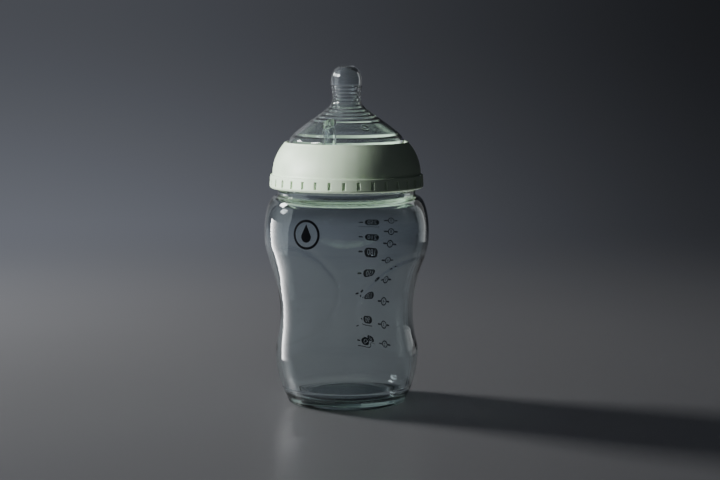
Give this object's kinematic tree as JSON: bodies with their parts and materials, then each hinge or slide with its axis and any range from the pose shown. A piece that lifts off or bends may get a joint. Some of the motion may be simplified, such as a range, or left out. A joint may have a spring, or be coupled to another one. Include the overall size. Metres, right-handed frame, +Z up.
{
  "type": "baby bottle",
  "caption": "Wide-neck glass feeding bottle with a waisted grip body, a domed screw ring and a ribbed silicone teat with a built-in anti-colic valve.",
  "frame": {"origin": "middle of the base, on the plane the bottle stands on", "axes": "+Z up along the bottle and thread axis, the front faces -Y, the scale side faces +Y, and the grip hollows face -X and +X"},
  "size_m": [0.0776, 0.0776, 0.1589],
  "materials": {
    "clear_glass": "clear, fire-polished, very faint green at thick edges",
    "ring_plastic": "satin moulded polypropylene, pale sage green",
    "clear_silicone": "clear, smooth, soft"
  },
  "bodies": {
    "bottle": {"glass_bottle": "clear_glass"},
    "teat_body": {"teat": "clear_silicone"},
    "ring_body": {"screw_ring": "ring_plastic"}
  },
  "joints": [
    {"name": "teat_lift", "type": "slide", "parent": "bottle", "child": "teat_body", "axis": [0, 0, 1], "range_m": [0, 0.015]},
    {"name": "ring_unscrew", "type": "hinge", "parent": "teat_body", "child": "ring_body", "pos_m": [0, 0, 0.1081], "axis": [0, 0, 1], "range_deg": [0, 1080]}
  ],
  "couplings": [
    {"joint": "teat_lift", "follows": "ring_unscrew", "m_per_rad": 0.00079577}
  ]
}
